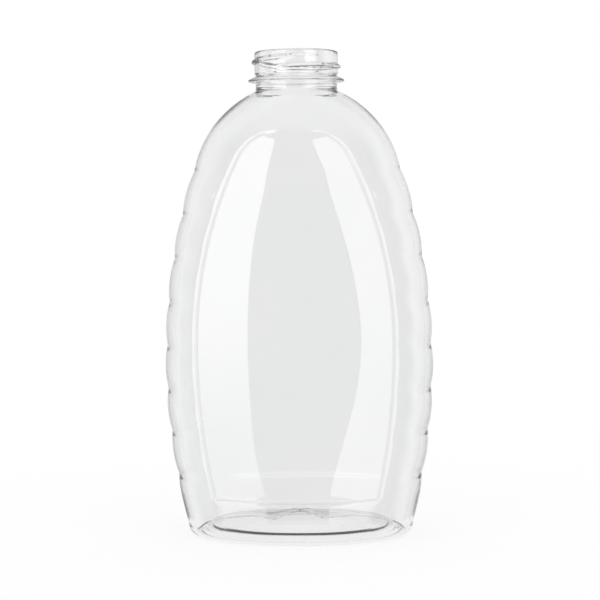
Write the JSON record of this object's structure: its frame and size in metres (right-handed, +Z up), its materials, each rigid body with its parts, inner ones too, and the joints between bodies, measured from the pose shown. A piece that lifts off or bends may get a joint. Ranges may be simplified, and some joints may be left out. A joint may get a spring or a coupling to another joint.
{
  "type": "ribbed oval honey bottle",
  "caption": "Clear oval bottle with a beehive outline, ribbed sides, smooth label panels, a pushed-up base and a threaded round neck, open and without a cap.",
  "frame": {"origin": "middle of the flat standing ring, on the surface that the bottle stands on", "axes": "+Z up along the neck's axis, +X across the wide face, -Y out of the front label panel"},
  "size_m": [0.1138, 0.0722, 0.2035],
  "materials": {
    "clear_pet": "clear, colourless stretch-blown PET, glossy inside and out"
  },
  "bodies": {
    "root": {"neck_finish": "clear_pet", "shoulder": "clear_pet", "body_front": "clear_pet", "body_rear": "clear_pet", "base": "clear_pet"}
  },
  "joints": []
}
